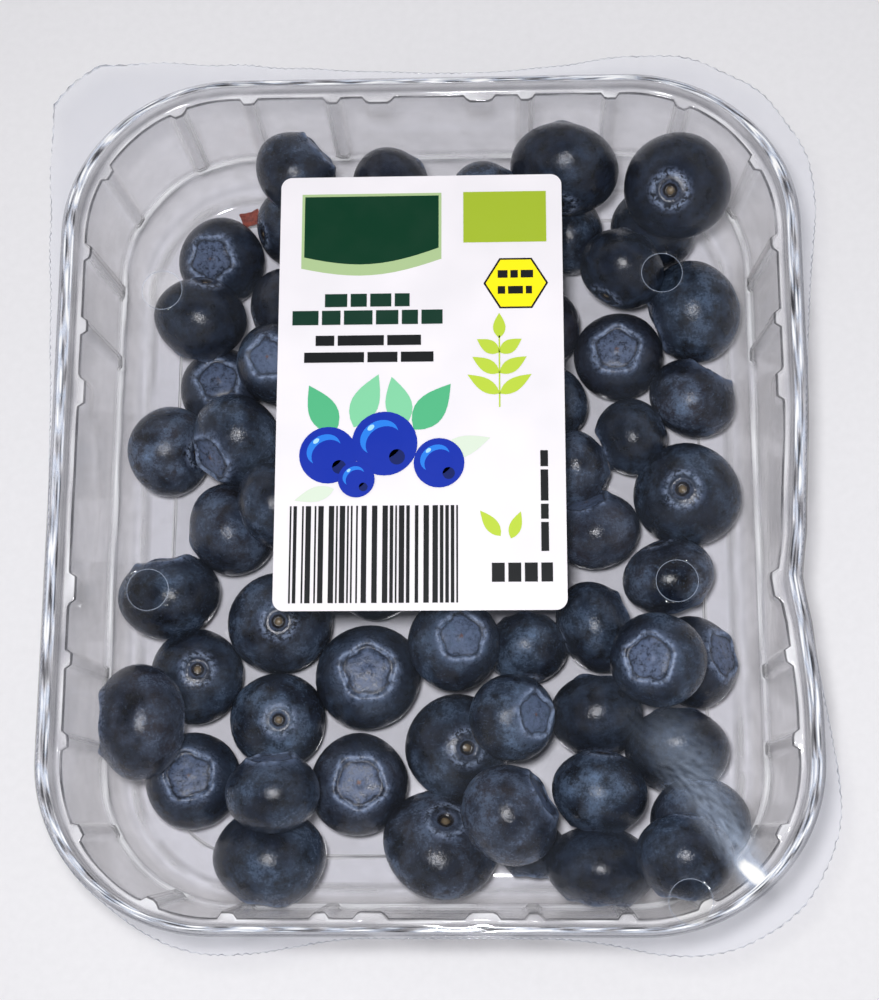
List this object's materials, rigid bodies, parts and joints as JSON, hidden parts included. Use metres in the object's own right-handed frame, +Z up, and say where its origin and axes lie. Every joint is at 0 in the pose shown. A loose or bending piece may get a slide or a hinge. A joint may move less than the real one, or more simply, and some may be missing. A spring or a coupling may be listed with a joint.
{
  "type": "punnet of blueberries",
  "caption": "Clear ribbed plastic tray with a flange, heaped with blueberries, sealed with a clear vented film that carries a paper label.",
  "frame": {"origin": "bottom centre of the bounding box, on the surface that the tray stands on", "axes": "+Z up, +Y along the tray's long side towards the label's upper edge, +X to the right when the label is read from above"},
  "size_m": [0.1242, 0.1434, 0.0368],
  "materials": {
    "tray": "clear formed plastic, glossy",
    "berries": "dark blue fruit skin with a pale waxy bloom",
    "film": "thin clear film, slightly hazy",
    "label": "white coated paper with flat printed fields"
  },
  "bodies": {
    "root": {"tray": "tray", "berries": "berries", "lid_film": "film", "label": "label"}
  },
  "joints": []
}
